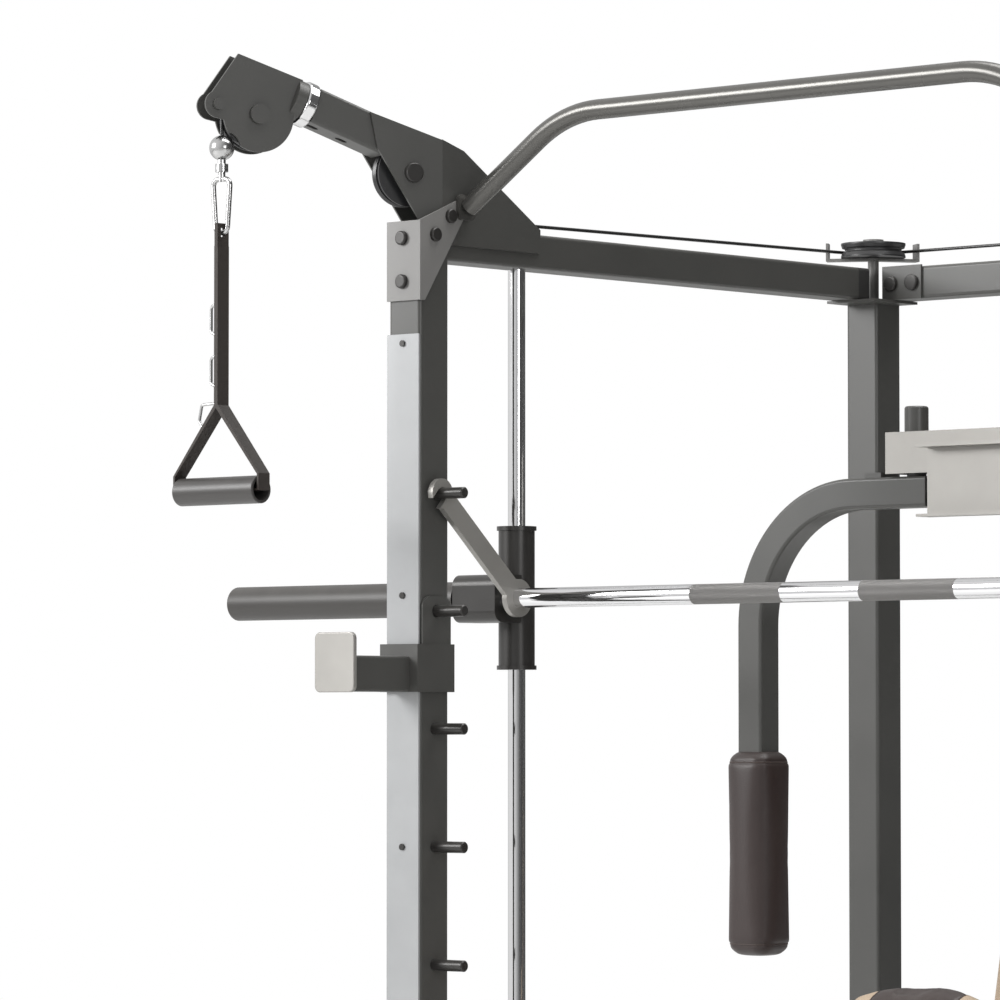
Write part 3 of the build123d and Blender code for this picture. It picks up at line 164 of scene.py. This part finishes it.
def add_noise(group, source, scale_from=None, scale=5.0, detail=3.0, stretch=(1, 1, 1)):
    """A noise texture in a group, on a stretched copy of the incoming place."""
    spread = group.nodes.new("ShaderNodeMapping")
    spread.inputs["Scale"].default_value = stretch
    noise = group.nodes.new("ShaderNodeTexNoise")
    noise.inputs["Scale"].default_value = scale
    noise.inputs["Detail"].default_value = detail
    group.links.new(source, spread.inputs["Vector"])
    group.links.new(spread.outputs["Vector"], noise.inputs["Vector"])
    if scale_from is not None:
        group.links.new(scale_from, noise.inputs["Scale"])
    return noise.outputs["Fac"]


def add_math(group, operation, first, second):
    """One arithmetic node; each input is a socket or a number."""
    node = group.nodes.new("ShaderNodeMath")
    node.operation = operation
    for socket, value in zip(node.inputs, (first, second)):
        if isinstance(value, (int, float)):
            socket.default_value = value
        else:
            group.links.new(value, socket)
    return node.outputs[0]


# %% Powder coat, brushed metal and moulded plastic
def build_grain(name, stretch, patch_scale):
    """Fine noise for the height and slow noise for the patches."""
    group, given, result = start_group(name)
    fine = add_noise(group, given.outputs["Vector"], given.outputs["Scale"], detail=2, stretch=stretch)
    slow = add_noise(group, given.outputs["Vector"], scale=patch_scale, detail=5)
    group.links.new(fine, result.inputs["Height"])
    group.links.new(slow, result.inputs["Patches"])


build_grain("coat_grain", (1, 1, 1), 9)
build_grain("brushed_across", (1, 0.04, 1), 14)
build_grain("turned_rings", (1, 0.05, 0.05), 11)


# %% Vinyl grain
def build_vinyl():
    """Pebbles with soft valleys between them, and slow creasing over the whole pad."""
    group, given, result = start_group("vinyl_grain")
    cells = group.nodes.new("ShaderNodeTexVoronoi")
    cells.feature = "SMOOTH_F1"
    group.links.new(given.outputs["Vector"], cells.inputs["Vector"])
    group.links.new(given.outputs["Scale"], cells.inputs["Scale"])
    crease = add_noise(group, given.outputs["Vector"], scale=26, detail=4, stretch=(1, 1, 0.35))
    height = add_math(group, "ADD", add_math(group, "MULTIPLY", cells.outputs["Distance"], -0.5), crease)
    group.links.new(height, result.inputs["Height"])
    group.links.new(crease, result.inputs["Patches"])


build_vinyl()


# %% Webbing threads
def build_weave():
    """Warp and weft ribs at right angles, in the strap's own width and length."""
    group, given, result = start_group("webbing_weave")
    ribs = []
    for axis in ("Y", "Z"):
        wave = group.nodes.new("ShaderNodeTexWave")
        wave.bands_direction = axis
        wave.inputs["Distortion"].default_value = 0.6
        group.links.new(given.outputs["Vector"], wave.inputs["Vector"])
        group.links.new(given.outputs["Scale"], wave.inputs["Scale"])
        ribs.append(wave.outputs["Fac"])
    threads = add_math(group, "MULTIPLY", ribs[0], ribs[1])
    group.links.new(threads, result.inputs["Height"])
    group.links.new(threads, result.inputs["Patches"])


build_weave()


# %% Knurling
def build_knurl(axis_y, axis_z):
    """Crossed grooves round a bar that lies along X, from the angle round it and the place along it."""
    group, given, result = start_group("bar_knurl")
    parts = group.nodes.new("ShaderNodeSeparateXYZ")
    group.links.new(given.outputs["Vector"], parts.inputs[0])
    side = add_math(group, "SUBTRACT", parts.outputs["Y"], axis_y)
    rise = add_math(group, "SUBTRACT", parts.outputs["Z"], axis_z)
    around = add_math(group, "MULTIPLY", add_math(group, "ARCTAN2", side, rise), 0.014)
    ridges = []
    for slope in (1, -1):
        mixed = add_math(group, "ADD", parts.outputs["X"], add_math(group, "MULTIPLY", around, slope))
        ridges.append(add_math(group, "SINE", add_math(group, "MULTIPLY", mixed, given.outputs["Scale"]), 0))
    crossed = add_math(group, "MULTIPLY", ridges[0], ridges[1])
    along = add_math(group, "ABSOLUTE", parts.outputs["X"], 0)
    inner = add_math(group, "GREATER_THAN", along, 0.068)
    outer = add_math(group, "LESS_THAN", along, 0.228)
    band = add_math(group, "MULTIPLY", inner, outer)
    group.links.new(add_math(group, "MULTIPLY", crossed, band), result.inputs["Height"])
    group.links.new(band, result.inputs["Patches"])


bar_low, bar_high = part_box("smith_bar")
build_knurl((bar_low[1] + bar_high[1]) / 2, (bar_low[2] + bar_high[2]) / 2)


# %% Dust
def build_dust():
    """A mask of what faces up, broken by noise."""
    group = bpy.data.node_groups.new("dust_film", "ShaderNodeTree")
    group.interface.new_socket("Vector", in_out="INPUT", socket_type="NodeSocketVector")
    amount = group.interface.new_socket("Amount", in_out="INPUT", socket_type="NodeSocketFloat")
    amount.default_value = 0.1
    group.interface.new_socket("Dust", in_out="OUTPUT", socket_type="NodeSocketFloat")
    given = group.nodes.new("NodeGroupInput")
    result = group.nodes.new("NodeGroupOutput")
    facing = group.nodes.new("ShaderNodeNewGeometry")
    parts = group.nodes.new("ShaderNodeSeparateXYZ")
    group.links.new(facing.outputs["Normal"], parts.inputs[0])
    up = add_math(group, "MAXIMUM", parts.outputs["Z"], 0)
    broken = add_noise(group, given.outputs["Vector"], scale=35, detail=6)
    film = add_math(group, "MULTIPLY", add_math(group, "MULTIPLY", up, broken), given.outputs["Amount"])
    group.links.new(film, result.inputs["Dust"])


build_dust()
print("effect groups:", sorted(group.name for group in bpy.data.node_groups))

# %% [markdown]
# ## Finishes
# One helper lays out each material the same way: the effect group mixes two near colours,
# widens the roughness a little and drives the bump, and the dust film greys what faces up.
# The numbers are what make paint, chrome and vinyl differ, so they stand in one table, and each
# finish is named for what a maker would order: coat, plate, cover, webbing.


# %% The material helper
def make_finish(name, colour, second, rough, effect, scale, depth, metal=0.0, coat=0.0, dust=0.1):
    """A Principled material over one effect group; rough is the low and high end of its range."""
    material = bpy.data.materials.new(name)
    material.use_nodes = True
    tree = material.node_tree
    shader = tree.nodes["Principled BSDF"]
    place = tree.nodes.new("ShaderNodeTexCoord")
    pattern = tree.nodes.new("ShaderNodeGroup")
    pattern.node_tree = bpy.data.node_groups[effect]
    pattern.inputs["Scale"].default_value = scale
    film = tree.nodes.new("ShaderNodeGroup")
    film.node_tree = bpy.data.node_groups["dust_film"]
    film.inputs["Amount"].default_value = dust
    shades = tree.nodes.new("ShaderNodeMix")
    shades.data_type = "RGBA"
    shades.inputs[6].default_value = (*colour, 1)
    shades.inputs[7].default_value = (*second, 1)
    dusty = tree.nodes.new("ShaderNodeMix")
    dusty.data_type = "RGBA"
    dusty.inputs[7].default_value = (0.45, 0.43, 0.40, 1)
    gloss = tree.nodes.new("ShaderNodeMapRange")
    gloss.inputs["To Min"].default_value = rough[0]
    gloss.inputs["To Max"].default_value = rough[1]
    bump = tree.nodes.new("ShaderNodeBump")
    bump.inputs["Distance"].default_value = depth
    bump.inputs["Strength"].default_value = 0.6
    link = tree.links.new
    link(place.outputs["Object"], pattern.inputs["Vector"])
    link(place.outputs["Object"], film.inputs["Vector"])
    link(pattern.outputs["Patches"], shades.inputs[0])
    link(shades.outputs[2], dusty.inputs[6])
    link(film.outputs["Dust"], dusty.inputs[0])
    link(dusty.outputs[2], shader.inputs["Base Color"])
    link(pattern.outputs["Patches"], gloss.inputs["Value"])
    link(gloss.outputs["Result"], shader.inputs["Roughness"])
    link(pattern.outputs["Height"], bump.inputs["Height"])
    link(bump.outputs["Normal"], shader.inputs["Normal"])
    shader.inputs["Metallic"].default_value = metal
    shader.inputs["Coat Weight"].default_value = coat
    shader.inputs["Coat Roughness"].default_value = 0.2
    return material


# %% The table of finishes
FINISHES = {
    "frame_paint": ((0.050, 0.050, 0.047), (0.062, 0.061, 0.057), (0.30, 0.42), "coat_grain", 900, 0.00004),
    "bracket_paint": ((0.15, 0.147, 0.143), (0.19, 0.186, 0.18), (0.34, 0.46), "coat_grain", 900, 0.00004),
    "bar_paint": ((0.085, 0.083, 0.078), (0.11, 0.107, 0.10), (0.22, 0.32), "coat_grain", 900, 0.00003, 0.55),
    "guard_plate": ((0.27, 0.275, 0.28), (0.34, 0.345, 0.35), (0.40, 0.54), "brushed_across", 700, 6e-5, 0.3),
    "dark_steel": ((0.022, 0.021, 0.020), (0.035, 0.033, 0.031), (0.24, 0.38), "coat_grain", 700, 4e-5, 0.3),
    "chrome": ((0.62, 0.62, 0.63), (0.70, 0.70, 0.70), (0.06, 0.12), "turned_rings", 900, 0.000004, 1.0),
    "zinc_plate": ((0.28, 0.27, 0.255), (0.35, 0.34, 0.32), (0.34, 0.48), "brushed_across", 800, 3e-5, 0.6),
    "hook_steel": ((0.42, 0.42, 0.42), (0.55, 0.55, 0.55), (0.14, 0.26), "turned_rings", 800, 0.00002, 1.0),
    "sleeve_rubber": ((0.030, 0.028, 0.026), (0.042, 0.039, 0.036), (0.34, 0.46), "coat_grain", 1300, 6e-5),
    "black_rubber": ((0.018, 0.018, 0.018), (0.028, 0.027, 0.026), (0.45, 0.6), "coat_grain", 800, 0.00008),
    "pulley_nylon": ((0.016, 0.016, 0.017), (0.026, 0.026, 0.027), (0.28, 0.40), "coat_grain", 600, 0.00003),
    "cable_cover": ((0.012, 0.012, 0.012), (0.020, 0.020, 0.020), (0.22, 0.32), "coat_grain", 900, 0.00003),
    "brown_vinyl": ((0.020, 0.011, 0.010), (0.030, 0.018, 0.016), (0.36, 0.50), "vinyl_grain", 520, 0.00035),
    "tan_vinyl": ((0.36, 0.27, 0.185), (0.43, 0.33, 0.235), (0.40, 0.54), "vinyl_grain", 520, 0.00035),
    "roller_foam": ((0.020, 0.020, 0.020), (0.032, 0.031, 0.030), (0.62, 0.78), "coat_grain", 500, 0.0002),
    "webbing": ((0.014, 0.010, 0.008), (0.040, 0.030, 0.023), (0.55, 0.75), "webbing_weave", 260, 0.0004),
    "grip_rubber": ((0.034, 0.032, 0.031), (0.048, 0.045, 0.043), (0.30, 0.42), "coat_grain", 1100, 0.00008),
    "seam_thread": ((0.030, 0.017, 0.014), (0.055, 0.034, 0.028), (0.5, 0.7), "webbing_weave", 900, 0.0001),
    "knurled_chrome": ((0.66, 0.66, 0.67), (0.20, 0.195, 0.19), (0.07, 0.42), "bar_knurl", 4200, 0.0003, 1.0),
}
finishes = {name: make_finish(name, *values) for name, values in FINISHES.items()}
SPECIAL = {"smith_bar": "knurled_chrome"}
for row in frame["record"]["subparts"]:
    part = nodes[row["node"]]
    paint = finishes[SPECIAL.get(row["node"], row["material_slot"])]
    for slot in part.material_slots:
        slot.material = paint

# %% [markdown]
# ## Cushions
# A gym pad is a board, a block of foam and a cover pulled tight over both. Each one starts as a
# block a little smaller than its place, is remeshed into even squares, and is then inflated by a
# cloth simulation with its backing held still. A cap on how far a point may travel keeps the
# crown low, as firm foam does. Panels, seams and piping are put in afterwards, since they are
# sewn into the cover and would be lost in the remesh.


# %% Block, swelling and placing
def start_clean():
    """Leave nothing selected, so that an operator touches only the new piece."""
    bpy.ops.object.select_all(action="DESELECT")


def make_active(piece):
    """Select one piece for the operators."""
    start_clean()
    piece.select_set(True)
    bpy.context.view_layer.objects.active = piece


def apply_modifiers(piece):
    """Fix every modifier of a piece into its mesh."""
    make_active(piece)
    for modifier in list(piece.modifiers):
        bpy.ops.object.modifier_apply(modifier=modifier.name)


def rounded_outline(width, depth, corner):
    """Corner points of a rounded rectangle about the origin."""
    points = []
    for quarter, (x_sign, y_sign) in enumerate(((1, 1), (-1, 1), (-1, -1), (1, -1))):
        for step in range(6):
            angle = math.radians(90 * quarter + 18 * step)
            points.append((x_sign * (width / 2 - corner) + corner * math.cos(angle),
                           y_sign * (depth / 2 - corner) + corner * math.sin(angle)))
    return points


def pad_block(name, outline, thickness, edge, voxel=0.006):
    """An outline raised to a thickness about the origin, with softened edges and even squares."""
    mesh = bpy.data.meshes.new(name)
    mesh.from_pydata([(x, y, -thickness / 2) for x, y in outline], [], [list(range(len(outline)))])
    piece = bpy.data.objects.new(name, mesh)
    bpy.context.collection.objects.link(piece)
    rise = piece.modifiers.new("rise", "SOLIDIFY")
    rise.thickness = thickness
    rise.offset = 1
    soften = piece.modifiers.new("soften", "BEVEL")
    soften.width = edge
    soften.segments = 4
    soften.limit_method = "ANGLE"
    apply_modifiers(piece)
    piece.data.remesh_voxel_size = voxel
    bpy.ops.object.voxel_remesh()
    middle = sum((vertex.co.z for vertex in piece.data.vertices)) / len(piece.data.vertices)
    for vertex in piece.data.vertices:
        vertex.co.z -= middle
    return piece


def swell(piece, cap, held=None):
    """Inflate a block with cloth pressure; held is the height below which the backing stays still."""
    start = [vertex.co.copy() for vertex in piece.data.vertices]
    stuffing = piece.modifiers.new("stuffing", "CLOTH")
    stuffing.settings.use_pressure = True
    stuffing.settings.uniform_pressure_force = 4
    stuffing.settings.effector_weights.gravity = 0
    if held is not None:
        backing = piece.vertex_groups.new(name="backing")
        backing.add([index for index, place in enumerate(start) if place.z < held], 1, "REPLACE")
        stuffing.settings.vertex_group_mass = "backing"
    for number in range(1, 21):
        bpy.context.scene.frame_set(number)
    blown = piece.evaluated_get(bpy.context.evaluated_depsgraph_get())
    moved = [vertex.co.copy() for vertex in blown.to_mesh().vertices]
    blown.to_mesh_clear()
    piece.modifiers.remove(stuffing)
    bpy.context.scene.frame_set(1)
    for vertex, before, after in zip(piece.data.vertices, start, moved):
        step = after - before
        if step.length > cap:
            step *= cap / step.length
        vertex.co = before + step


def finish_pad(piece, paints, zone, seams, seam_depth=0.002):
    """Subdivide, press the seams in, and give each face the cover of its panel."""
    even = piece.modifiers.new("even", "SMOOTH")
    even.iterations = 3
    finer = piece.modifiers.new("finer", "SUBSURF")
    finer.levels = finer.render_levels = 1
    apply_modifiers(piece)
    mesh = piece.data
    for vertex in mesh.vertices:
        away = min((abs(vertex.co[axis] - value) for axis, value in seams), default=1)
        if away < 0.006:
            vertex.co -= vertex.normal * seam_depth * (1 - away / 0.006) ** 2
    for paint in paints:
        mesh.materials.append(finishes[paint])
    for face in mesh.polygons:
        face.material_index = zone(face.center)
        face.use_smooth = True
    print(piece.name, len(mesh.polygons), "faces")


def piping(piece, axis, value, radius, name):
    """A thin welt that lies on the cover where a plane cuts the pad."""
    cut = bmesh.new()
    cut.from_mesh(piece.data)
    normal = [0, 0, 0]
    normal[axis] = 1
    point = [0, 0, 0]
    point[axis] = value
    bmesh.ops.bisect_plane(cut, geom=cut.verts[:] + cut.edges[:] + cut.faces[:], plane_co=point,
                           plane_no=normal, clear_inner=True, clear_outer=True)
    line = bpy.data.meshes.new(name)
    cut.to_mesh(line)
    cut.free()
    welt = bpy.data.objects.new(name, line)
    bpy.context.collection.objects.link(welt)
    make_active(welt)
    bpy.ops.object.convert(target="CURVE")
    welt.data.bevel_depth = radius
    welt.data.bevel_resolution = 2
    bpy.ops.object.convert(target="MESH")
    for face in welt.data.polygons:
        face.use_smooth = True
    return welt


def put_in_place(pieces, across, up, out, centre):
    """Turn finished meshes from their own axes to the machine's."""
    place = Matrix((across, up, out)).transposed().to_4x4()
    place.translation = centre
    for piece in pieces:
        piece.data.transform(place)


def box_centre(node):
    """Middle of a CAD node's box."""
    low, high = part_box(node)
    return (Vector(low) + Vector(high)) / 2


def dress(pieces, body, paint=None):
    """Hang pieces on a body, and paint those that have none."""
    for piece in pieces:
        if paint is not None:
            piece.data.materials.append(finishes[paint])
        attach(piece, body)


# %% [markdown]
# The seat is one plain cushion on its board. Its single seam runs round the side, where the top
# panel meets the border, so a level plane finds it.

# %% Seat
SEAT_SEAM = -0.010
seat = pad_block("seat_cushion", rounded_outline(0.280, 0.240, 0.042), 0.046, 0.012)
swell(seat, 0.007, -0.018)
finish_pad(seat, ["brown_vinyl"], lambda spot: 0, [(2, SEAT_SEAM)])
seat_welt = piping(seat, 2, SEAT_SEAM, 0.0016, "seat_welt")
seat_centre = box_centre("seat_pad") + Vector((0, 0, -0.004))
put_in_place([seat, seat_welt], (1, 0, 0), (0, 1, 0), (0, 0, 1), seat_centre)
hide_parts("seat_pad")
dress([seat], "frame")
dress([seat_welt], "frame", "seam_thread")

# %% [markdown]
# The back rest leans on its bar. Its cover has a dark middle and tan margins, sewn along two
# upright seams, so the panels are told apart by how far a face lies from the middle.

# %% Back rest
BACK_LEAN = math.radians(11.77)
BACK_PANEL = 0.088
BACK_EDGE = -0.005
BACK_UP = (0, math.sin(BACK_LEAN), math.cos(BACK_LEAN))
BACK_OUT = (0, -math.cos(BACK_LEAN), math.sin(BACK_LEAN))
back = pad_block("back_cushion", rounded_outline(0.300, 0.648, 0.030), 0.064, 0.014)
swell(back, 0.007, -0.026)
finish_pad(back, ["brown_vinyl", "tan_vinyl"],
           lambda spot: int(abs(spot.x) > BACK_PANEL and spot.z > BACK_EDGE),
           [(0, BACK_PANEL), (0, -BACK_PANEL), (2, BACK_EDGE)])
back_welts = [piping(back, 0, side * BACK_PANEL, 0.0015, f"back_welt_{name}") for name, side in SIDES.items()]
back_welts.append(piping(back, 2, BACK_EDGE, 0.0018, "back_edge_welt"))
put_in_place([back, *back_welts], (1, 0, 0), BACK_UP, BACK_OUT, box_centre("back_pad"))
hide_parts("back_pad")
dress([back], "back_rest")
dress(back_welts, "back_rest", "seam_thread")

# %% [markdown]
# The arm-curl rest slopes at 50 degrees to the front, and its top edge is arched. It
# wears the same dark middle, with a narrow tan band on either side of it.

# %% Arm-curl rest
CURL_LEAN = math.radians(50)
CURL_PANEL = 0.074
CURL_BAND = 0.112
CURL_EDGE = -0.004
CURL_HALF = 0.119
CURL_UP = (0, math.cos(CURL_LEAN), math.sin(CURL_LEAN))
CURL_OUT = (0, -math.sin(CURL_LEAN), math.cos(CURL_LEAN))


def curl_outline():
    """The arched top edge and straight sides of the arm-curl rest."""
    points = [(-CURL_HALF, -0.124), (CURL_HALF, -0.124)]
    for step in range(13):
        x = CURL_HALF - CURL_HALF * step / 6
        points.append((x, 0.122 - 0.030 * (x / CURL_HALF) ** 2))
    return points


curl = pad_block("curl_cushion", curl_outline(), 0.044, 0.012)
swell(curl, 0.008, -0.016)
finish_pad(curl, ["brown_vinyl", "tan_vinyl"],
           lambda spot: int(CURL_PANEL < abs(spot.x) < CURL_BAND and spot.z > CURL_EDGE),
           [(0, CURL_PANEL), (0, -CURL_PANEL), (0, CURL_BAND), (0, -CURL_BAND)])
curl_welts = [piping(curl, 0, side * CURL_PANEL, 0.0014, f"curl_welt_{name}") for name, side in SIDES.items()]
curl_welts.append(piping(curl, 2, CURL_EDGE, 0.0018, "curl_edge_welt"))
put_in_place([curl, *curl_welts], (1, 0, 0), CURL_UP, CURL_OUT, box_centre("curl_pad"))
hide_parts("curl_pad")
dress([curl], "curl_rest")
dress(curl_welts, "curl_rest", "seam_thread")

# %% [markdown]
# The pec-fly pads are sleeves of foam round the hanging ends of their arms. Foam under a tight
# cover draws in where it closes, so both ends are pinched after the swelling.

# %% Pec-fly pads
FLY_SEAM = 0.134
for name, side in SIDES.items():
    fly = pad_block(f"fly_cushion_{name}", rounded_outline(0.080, 0.076, 0.024), 0.302, 0.018)
    swell(fly, 0.005)
    for vertex in fly.data.vertices:
        pinch = max(0.0, abs(vertex.co.z) - 0.128) / 0.026
        vertex.co.x *= 1 - 0.16 * pinch ** 2
        vertex.co.y *= 1 - 0.16 * pinch ** 2
    finish_pad(fly, ["brown_vinyl"], lambda spot: 0, [(2, FLY_SEAM), (2, -FLY_SEAM)])
    fly_welts = [piping(fly, 2, end * FLY_SEAM, 0.0013, f"fly_welt_{tag}_{name}")
                 for tag, end in (("low", -1), ("high", 1))]
    put_in_place([fly, *fly_welts], (1, 0, 0), (0, 1, 0), (0, 0, 1), box_centre(f"fly_pad_{name}"))
    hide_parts(f"fly_pad_{name}")
    dress([fly], f"fly_{name}")
    dress(fly_welts, f"fly_{name}", "seam_thread")

# %% [markdown]
# The leg rollers are bare foam on a cross rod, with no cover and no seam. Each is a round block
# that is swollen less than a cushion, because foam without a cover keeps the shape it was cut to.

# %% Leg rollers
ROLLER_RADIUS = 0.041
for name, side in SIDES.items():
    angles = [math.tau * step / 32 for step in range(32)]
    ring = [(ROLLER_RADIUS * math.cos(angle), ROLLER_RADIUS * math.sin(angle)) for angle in angles]
    roller = pad_block(f"foam_roller_{name}", ring, 0.150, 0.010)
    swell(roller, 0.003)
    finish_pad(roller, ["roller_foam"], lambda spot: 0, [])
    low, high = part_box("leg_rollers")
    centre = Vector((side * 0.110, (low[1] + high[1]) / 2, (low[2] + high[2]) / 2))
    put_in_place([roller], (0, 1, 0), (0, 0, 1), (1, 0, 0), centre)
    dress([roller], "leg_lever")
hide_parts("leg_rollers")
print("cushions in place")
